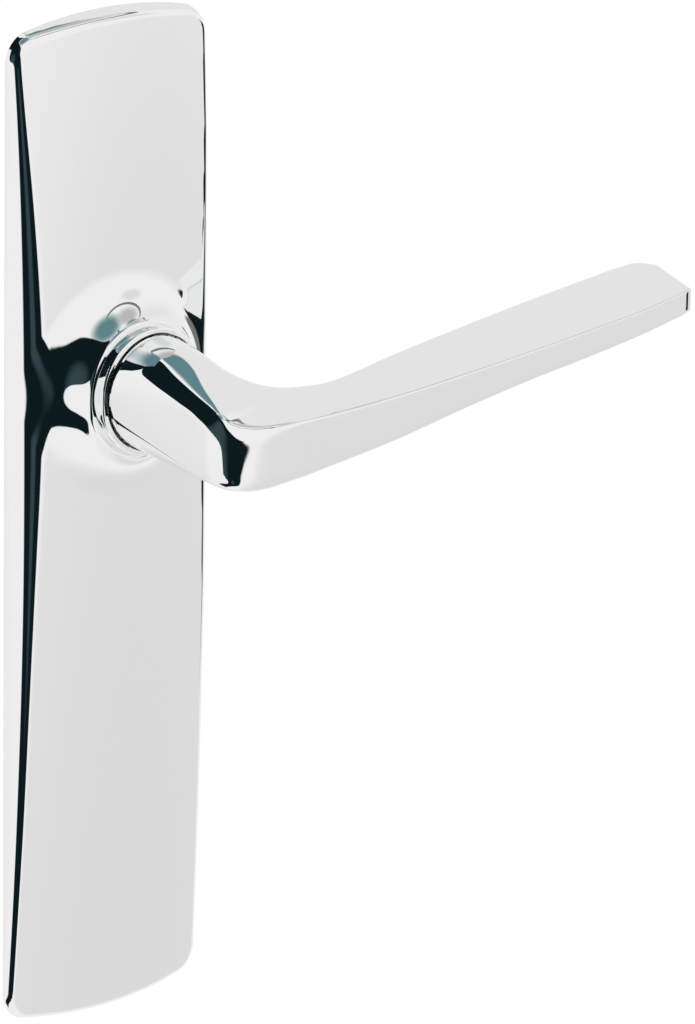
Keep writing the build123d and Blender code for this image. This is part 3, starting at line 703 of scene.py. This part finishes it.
def grained(
    name, groups, colour, stain_colour, grain_size, stain_size, bump, metallic=1.0, roughness=0.3,
    stretch=(1.0, 1.0, 1.0), stains=1.0, grain_rough=(0.2, 0.35), stain_rough=0.0, edge=None,
):
    """A finish with fine grain, stains and, where edge gives width, breaks and colour, bare edges."""
    material, nodes, shader = new_material(name, colour, metallic, roughness)
    grain = group_node(nodes, groups["grain"], {
        "Grain size": grain_size, "Grain stretch": stretch, "Stain size": stain_size,
    })
    link = nodes.tree.links.new
    stained = nodes.math("MULTIPLY", grain["Stain"], stains)
    shown = nodes.mix(stained, (*colour, 1.0), (*stain_colour, 1.0))
    if edge:
        width, breaks, bare = edge
        worn = group_node(nodes, groups["edge"], {"Width": width, "Break size": breaks})["Edge"]
        shown = nodes.mix(worn, shown, (*bare, 1.0))
    link(shown, shader.inputs["Base Color"])
    rough = nodes.math("MULTIPLY_ADD", grain["Grain"], *grain_rough)
    rough = nodes.math("MULTIPLY_ADD", grain["Stain"], stain_rough, rough, clamp=True)
    link(rough, shader.inputs["Roughness"])
    strength, distance = bump
    relief = nodes.add(
        "ShaderNodeBump", {"Height": grain["Grain"], "Strength": strength, "Distance": distance})
    link(relief.outputs[0], shader.inputs["Normal"])
    return material, shader


def zinc(name, settings, groups):
    """Bright zinc plate, drawn along its length, with yellowish stains."""
    colour = settings.zinc_colour
    return grained(
        name, groups, colour, tint(colour, (0.93, 0.90, 0.80)), 0.0005, 0.009, (0.35, 0.0001),
        roughness=0.32, stretch=(1.0, 1.0, 0.25), stains=0.55, grain_rough=(0.22, 0.18),
        stain_rough=0.12, edge=(0.0003, 0.002, (0.85, 0.86, 0.87)))[0]


def spring_steel(name, settings, groups):
    """Spring steel with patches of oil."""
    colour = settings.spring_colour
    return grained(
        name, groups, colour, tint(colour, (0.55, 0.52, 0.50)), 0.0003, 0.004, (0.3, 0.00005),
        grain_rough=(0.25, 0.14))[0]


def black_oxide(name, settings, groups):
    """Black oxide, rubbed bare on the edges and a little rusty."""
    return grained(
        name, groups, settings.black_colour, (0.09, 0.07, 0.055), 0.0003, 0.003, (0.4, 0.00005),
        metallic=0.6, roughness=0.4, stains=0.5, grain_rough=(0.2, 0.28),
        edge=(0.0002, 0.001, (0.35, 0.35, 0.36)))[0]


def nylon(name, settings, groups):
    """Natural nylon, which lets some light in and yellows in patches."""
    colour = settings.nylon_colour
    material, shader = grained(
        name, groups, colour, tint(colour, (0.93, 0.90, 0.82)), 0.0004, 0.006, (0.25, 0.0001),
        metallic=0.0, roughness=0.45)
    shader.inputs["Subsurface Weight"].default_value = 0.25
    shader.inputs["Subsurface Radius"].default_value = (0.002, 0.0018, 0.0015)
    return material


FINISHES = {
    "Bright chrome": chrome, "Bright zinc plate": zinc, "Oiled spring steel": spring_steel,
    "Black oxide": black_oxide, "Natural nylon": nylon,
}


def finish(context, name):
    """The finish of this name, made the first time it is asked for."""
    made = bpy.data.materials.get(name)
    return made or FINISHES[name](name, context.scene.handle_finish, shared_groups())


def dress(names, material):
    """The material on every slot of these CAD nodes."""
    for name in names:
        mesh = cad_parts[name].data
        mesh.materials.clear()
        mesh.materials.append(material)


class HandleFinish(bpy.types.PropertyGroup):
    chrome_colour: bpy.props.FloatVectorProperty(
        name="Chrome colour", description="Tint of the polished plating",
        subtype="COLOR", size=3, min=0.0, max=1.0, default=(0.93, 0.935, 0.94))
    chrome_roughness: bpy.props.FloatProperty(
        name="Chrome roughness", description="Blur of the reflections on the polished parts",
        subtype="FACTOR", min=0.0, max=1.0, default=0.03)
    smear_strength: bpy.props.FloatProperty(
        name="Smears", description="How much handling smears dull the chrome",
        subtype="FACTOR", min=0.0, max=1.0, default=0.02)
    wave_size: bpy.props.FloatProperty(
        name="Wave size", description="Length of the slow waviness left by polishing",
        subtype="DISTANCE", unit="LENGTH", min=0.001, max=0.2, default=0.03)
    wave_depth: bpy.props.FloatProperty(
        name="Wave depth", description="Depth of that waviness",
        subtype="DISTANCE", unit="LENGTH", min=0.0, max=0.001, precision=6, default=0.00005)
    zinc_colour: bpy.props.FloatVectorProperty(
        name="Zinc colour", description="Tint of the plated steel parts",
        subtype="COLOR", size=3, min=0.0, max=1.0, default=(0.66, 0.67, 0.68))
    spring_colour: bpy.props.FloatVectorProperty(
        name="Spring colour", description="Tint of the spring steel",
        subtype="COLOR", size=3, min=0.0, max=1.0, default=(0.42, 0.43, 0.45))
    black_colour: bpy.props.FloatVectorProperty(
        name="Grub screw colour", description="Tint of the black oxide",
        subtype="COLOR", size=3, min=0.0, max=1.0, default=(0.04, 0.04, 0.045))
    nylon_colour: bpy.props.FloatVectorProperty(
        name="Nylon colour", description="Tint of the moulded bushes",
        subtype="COLOR", size=3, min=0.0, max=1.0, default=(0.86, 0.85, 0.81))


class HandleCover(bpy.types.PropertyGroup):
    height: bpy.props.FloatProperty(
        name="Height", description="Height of the cover plate",
        subtype="DISTANCE", unit="LENGTH", min=0.1, max=0.4, default=0.22)
    width: bpy.props.FloatProperty(
        name="Width", description="Width of the cover plate",
        subtype="DISTANCE", unit="LENGTH", min=0.045, max=0.1, default=0.0523)
    top: bpy.props.FloatProperty(
        name="Top", description="Height of the plate's top edge over the spindle axis",
        subtype="DISTANCE", unit="LENGTH", min=0.03, max=0.2, default=0.0785)
    wall: bpy.props.FloatProperty(
        name="Wall", description="Thickness of the casting",
        subtype="DISTANCE", unit="LENGTH", min=0.001, max=0.003, default=0.0015)
    boss_blend: bpy.props.FloatProperty(
        name="Boss cove", description="Radius of the cove between face and boss",
        subtype="DISTANCE", unit="LENGTH", min=0.001, max=0.012, default=0.0105)


class HandleLever(bpy.types.PropertyGroup):
    reach: bpy.props.FloatProperty(
        name="Reach", description="From the spindle axis to the front corner of the tip",
        subtype="DISTANCE", unit="LENGTH", min=0.09, max=0.16, default=0.1222)
    tip_round: bpy.props.FloatProperty(
        name="Tip rounding", description="Rounding of the edge round the tip",
        subtype="DISTANCE", unit="LENGTH", min=0.0002, max=0.0015, default=0.0003)


class HandleStudio(bpy.types.PropertyGroup):
    light_colour: bpy.props.FloatVectorProperty(
        name="Light colour", description="Colour of the white walls of the studio",
        subtype="COLOR", size=3, min=0.0, max=1.0, default=(0.91, 0.91, 0.90))
    dark_colour: bpy.props.FloatVectorProperty(
        name="Dark colour", description="Colour of the dark side of the studio, behind the camera",
        subtype="COLOR", size=3, min=0.0, max=1.0, default=(0.004, 0.011, 0.014))
    dark_blur: bpy.props.FloatProperty(
        name="Dark edge", description="Width of the fade at the edge of the dark side",
        subtype="ANGLE", unit="ROTATION", min=0.001, max=0.5, default=math.radians(1.6))
    floor_drop: bpy.props.FloatProperty(
        name="Floor drop", description="How far the floor lies below the spindle axis",
        subtype="DISTANCE", unit="LENGTH", min=0.2, max=5.0, default=1.2)
    floor_size: bpy.props.FloatProperty(
        name="Floor size", description="Side of the square floor",
        subtype="DISTANCE", unit="LENGTH", min=1.0, max=60.0, default=30.0)


class HANDLE_OT_chrome(bpy.types.Operator):
    """Bright chrome on the collar ring"""
    bl_idname = "door_handle.chrome"
    bl_label = "Collar ring"

    def execute(self, context):
        dress(CHROME_PARTS, finish(context, "Bright chrome"))
        return {"FINISHED"}


class HANDLE_OT_cover(bpy.types.Operator):
    """Cover plate with its rolled rim, bowed face and coved boss"""
    bl_idname = "door_handle.cover"
    bl_label = "Cover plate"

    def execute(self, context):
        piece = build_cover(context.scene.handle_cover, finish(context, "Bright chrome"))
        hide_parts("cover_plate")
        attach(piece, "plate")
        return {"FINISHED"}


class HANDLE_OT_lever(bpy.types.Operator):
    """Lever with its facetted neck, rounded elbow and tapering grip"""
    bl_idname = "door_handle.lever"
    bl_label = "Lever"

    def execute(self, context):
        piece = build_lever(context.scene.handle_lever, finish(context, "Bright chrome"))
        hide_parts("lever_handle")
        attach(piece, "lever")
        return {"FINISHED"}


class HANDLE_OT_spring(bpy.types.Operator):
    """Return spring, with one leg in the base plate and one in the journal"""
    bl_idname = "door_handle.spring"
    bl_label = "Return spring"

    def execute(self, context):
        piece = merged_copy("return_spring", "return_spring_coil", finish(context, "Oiled spring steel"))
        piece.data.shade_smooth()
        piece.data.set_sharp_from_angle(angle=math.radians(35))
        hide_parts("return_spring")
        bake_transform(piece)
        return {"FINISHED"}


class HANDLE_OT_fittings(bpy.types.Operator):
    """Zinc plate, spring steel, black oxide and nylon on the parts behind the cover"""
    bl_idname = "door_handle.fittings"
    bl_label = "Hidden fittings"

    def execute(self, context):
        dress(ZINC_PARTS, finish(context, "Bright zinc plate"))
        dress(SPRING_PARTS, finish(context, "Oiled spring steel"))
        dress(NYLON_PARTS, finish(context, "Natural nylon"))
        dress(OXIDE_PARTS, finish(context, "Black oxide"))
        return {"FINISHED"}


class HANDLE_OT_studio(bpy.types.Operator):
    """Pale floor, soft studio light and the camera"""
    bl_idname = "door_handle.studio"
    bl_label = "Studio and camera"

    def execute(self, context):
        settings = context.scene.handle_studio
        build_floor(settings)
        build_sky(settings)
        build_camera()
        context.scene.view_settings.view_transform = "Standard"
        return {"FINISHED"}


def shared_groups():
    """The node groups that several finishes use, built once."""
    makers = {
        "Polish traces": build_polish_group, "Edge wear": build_edge_group,
        "Surface grain": build_grain_group,
    }
    found = {name: bpy.data.node_groups.get(name) or make() for name, make in makers.items()}
    return {
        "polish": found["Polish traces"], "edge": found["Edge wear"], "grain": found["Surface grain"],
    }


def build_floor(settings):
    """A pale floor, white to the camera, which the polished parts don't reflect."""
    bpy.ops.mesh.primitive_plane_add(size=settings.floor_size, location=(0, 0, -settings.floor_drop))
    floor = bpy.context.object
    floor.name = "Floor"
    material = bpy.data.materials.new("Pale floor")
    material.use_nodes = True
    material.node_tree.nodes.clear()
    nodes = Nodes(material.node_tree)
    matt = nodes.add("ShaderNodeBsdfDiffuse", {"Color": (0.9, 0.9, 0.89, 1.0)})
    glow = nodes.add("ShaderNodeEmission", {"Color": (1.0, 1.0, 1.0, 1.0), "Strength": 1.0})
    seen = nodes.add("ShaderNodeLightPath").outputs["Is Camera Ray"]
    both = nodes.add("ShaderNodeMixShader", {0: seen, 1: matt.outputs[0], 2: glow.outputs[0]})
    nodes.add("ShaderNodeOutputMaterial", {"Surface": both.outputs[0]})
    floor.data.materials.append(material)
    floor.visible_glossy = False


def direction(azimuth, elevation):
    """A direction seen from the handle: azimuth 0 is in front of the door, 90 towards +X."""
    a, e = math.radians(azimuth), math.radians(elevation)
    return (math.sin(a) * math.cos(e), -math.cos(a) * math.cos(e), math.sin(e))


# What the polished parts reflect, laid over one another in this order: azimuth, elevation,
# the half angles where a zone is full and where it ends, and its tone
STUDIO_ZONES = (
    (45, -34, 4, 40, "shade"),
    (122, 30, 12, 42, "mist"),
    (-140, -16, 10, 36, "mist"),
    (50, 33, 2, 12, "shade"),
    (64, 70, 25.2, 26.6, "line"),
    (67, 72.8, 24.2, 25.6, "light"),
    (-30, 72, 10, 28, "teal"),
    (75, 66, 4, 20, "grey"),
    (126, 64, 6, 13, "teal"),
    (66, -12, 8, 9.5, "dark"),
    (78, -11, 8, 9.5, "dark"),
    (90, -10, 6, 8.5, "line"),
)
# The dark side of the studio: elevation, and the azimuths where it begins and ends
DARK_SIDE = (
    (-66, -96, -90), (-55, -100, -72), (-45, -98, -50), (-35, -78, -28), (-25, -57, -4), (-15, -50, 2),
    (-5, -56, 2), (5, -88, -9), (15, -101, -19), (25, -106, -24), (35, -114, -28), (45, -136, -37),
    (55, -150, -52), (65, -165, -85), (75, -178, -120), (82, -179, -150),
)
# Paler places on the dark side, given like the zones, and the elevations where it fades out at the floor
GLOWS = ((-70, 5, 6, 26, "deep"), (-25, -14, 1, 9, "deep"))
DARK_FLOOR = (-66, -60)
# Tones as shares of the light colour, or as colours of their own
SHARES = {"light": 1.0, "mist": 0.9, "shade": 0.82, "grey": 0.55, "line": 0.2}
COLOURS = {"teal": (0.12, 0.24, 0.26), "deep": (0.035, 0.06, 0.07)}


def curve(nodes, value, places):
    """A smooth curve through places, read at value; both run from 0 to 1."""
    node = nodes.add("ShaderNodeFloatCurve", {"Value": value})
    points = node.mapping.curves[0].points
    points[0].location, points[1].location = places[0], places[-1]
    for place in places[1:-1]:
        points.new(*place)
    node.mapping.update()
    return node.outputs[0]


def build_sky(settings):
    """The studio as the polished parts reflect it, white to the camera."""
    world = bpy.data.worlds.new("Studio")
    bpy.context.scene.world = world
    world.use_nodes = True
    world.node_tree.nodes.clear()
    nodes = Nodes(world.node_tree)
    way = nodes.add("ShaderNodeTexCoord").outputs["Generated"]
    light, dark = settings.light_colour, settings.dark_colour
    tones = {name: tint(light, (share,) * 3) for name, share in SHARES.items()}
    tones.update(COLOURS, dark=dark)

    def lay(colour, azimuth, elevation, inner, outer, tone, mask=1.0):
        facing = nodes.add(
            "ShaderNodeVectorMath", {0: way, 1: direction(azimuth, elevation)}, operation="DOT_PRODUCT"
        ).outputs["Value"]
        inside = nodes.fade(facing, math.cos(math.radians(outer)), math.cos(math.radians(inner)))
        return nodes.mix(nodes.math("MULTIPLY", inside, mask), colour, (*tones[tone], 1.0))

    colour = (*light, 1.0)
    for zone in STUDIO_ZONES:
        colour = lay(colour, *zone)
    parts = nodes.add("ShaderNodeSeparateXYZ", {"Vector": way}).outputs
    half_turn = nodes.math("ARCTAN2", parts[0], nodes.math("MULTIPLY", parts[1], -1.0))
    turn = nodes.math("MULTIPLY_ADD", half_turn, 0.5 / math.pi, 0.5)
    rise = nodes.math("MULTIPLY_ADD", nodes.math("ARCSINE", parts[2]), 1 / math.pi, 0.5)
    # azimuth and elevation both run from 0 to 1 from here on
    begin = curve(nodes, rise, [(e / 180 + 0.5, a / 360 + 0.5) for e, a, _ in DARK_SIDE])
    end = curve(nodes, rise, [(e / 180 + 0.5, a / 360 + 0.5) for e, _, a in DARK_SIDE])
    soft = settings.dark_blur / 2 / math.pi
    after = nodes.fade(nodes.math("SUBTRACT", turn, begin), -soft, soft)
    before = nodes.fade(nodes.math("SUBTRACT", end, turn), -soft, soft)
    low = nodes.fade(rise, *(e / 180 + 0.5 for e in DARK_FLOOR))
    mask = nodes.math("MULTIPLY", nodes.math("MULTIPLY", after, before), low)
    colour = nodes.mix(mask, colour, (*dark, 1.0))
    for zone in GLOWS:
        colour = lay(colour, *zone, mask)
    seen = nodes.add("ShaderNodeLightPath").outputs["Is Camera Ray"]
    colour = nodes.mix(seen, colour, (1.0, 1.0, 1.0, 1.0))
    sky = nodes.add("ShaderNodeBackground", {"Color": colour, "Strength": 1.0})
    nodes.add("ShaderNodeOutputWorld", {"Surface": sky.outputs[0]})


def build_camera():
    """The camera in the place that was solved from the photograph."""
    camera = bpy.data.objects.new("Camera", bpy.data.cameras.new("Camera"))
    bpy.context.scene.collection.objects.link(camera)
    turn = (
        Matrix.Rotation(math.radians(CAMERA_AZIMUTH), 4, "Z")
        @ Matrix.Rotation(math.radians(90 - CAMERA_ELEVATION), 4, "X")
        @ Matrix.Rotation(math.radians(CAMERA_ROLL), 4, "Z")
    )
    camera.matrix_world = Matrix.Translation(CAMERA_AT) @ turn
    camera.data.lens = CAMERA_LENS
    camera.data.shift_x, camera.data.shift_y = CAMERA_SHIFT
    bpy.context.scene.camera = camera


class HANDLE_PT_panel(bpy.types.Panel):
    """The handle's sizes, finishes and studio"""
    bl_idname = "HANDLE_PT_panel"
    bl_label = "Door Handle"
    bl_space_type = "VIEW_3D"
    bl_region_type = "UI"
    bl_category = "Door Handle"

    def draw(self, context):
        for owner in GROUPS:
            group = getattr(context.scene, owner)
            box = self.layout.box()
            for name in group.bl_rna.properties.keys():
                if name not in {"rna_type", "name"}:
                    box.prop(group, name)
        for operator in OPERATORS:
            self.layout.operator(operator.bl_idname)


OPERATORS = (
    HANDLE_OT_cover, HANDLE_OT_lever, HANDLE_OT_spring, HANDLE_OT_chrome, HANDLE_OT_fittings,
    HANDLE_OT_studio,
)
GROUPS = {
    "handle_cover": HandleCover, "handle_lever": HandleLever, "handle_finish": HandleFinish,
    "handle_studio": HandleStudio,
}
CLASSES = (*GROUPS.values(), *OPERATORS, HANDLE_PT_panel)


def register():
    for cls in CLASSES:
        bpy.utils.register_class(cls)
    for name, group in GROUPS.items():
        setattr(bpy.types.Scene, name, bpy.props.PointerProperty(type=group))


def unregister():
    for name in GROUPS:
        delattr(bpy.types.Scene, name)
    for cls in reversed(CLASSES):
        bpy.utils.unregister_class(cls)


def main():
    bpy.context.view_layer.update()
    register()
    for operator in ("cover", "lever", "spring", "chrome", "fittings", "studio"):
        getattr(bpy.ops.door_handle, operator)()


if __name__ == "__main__":
    main()
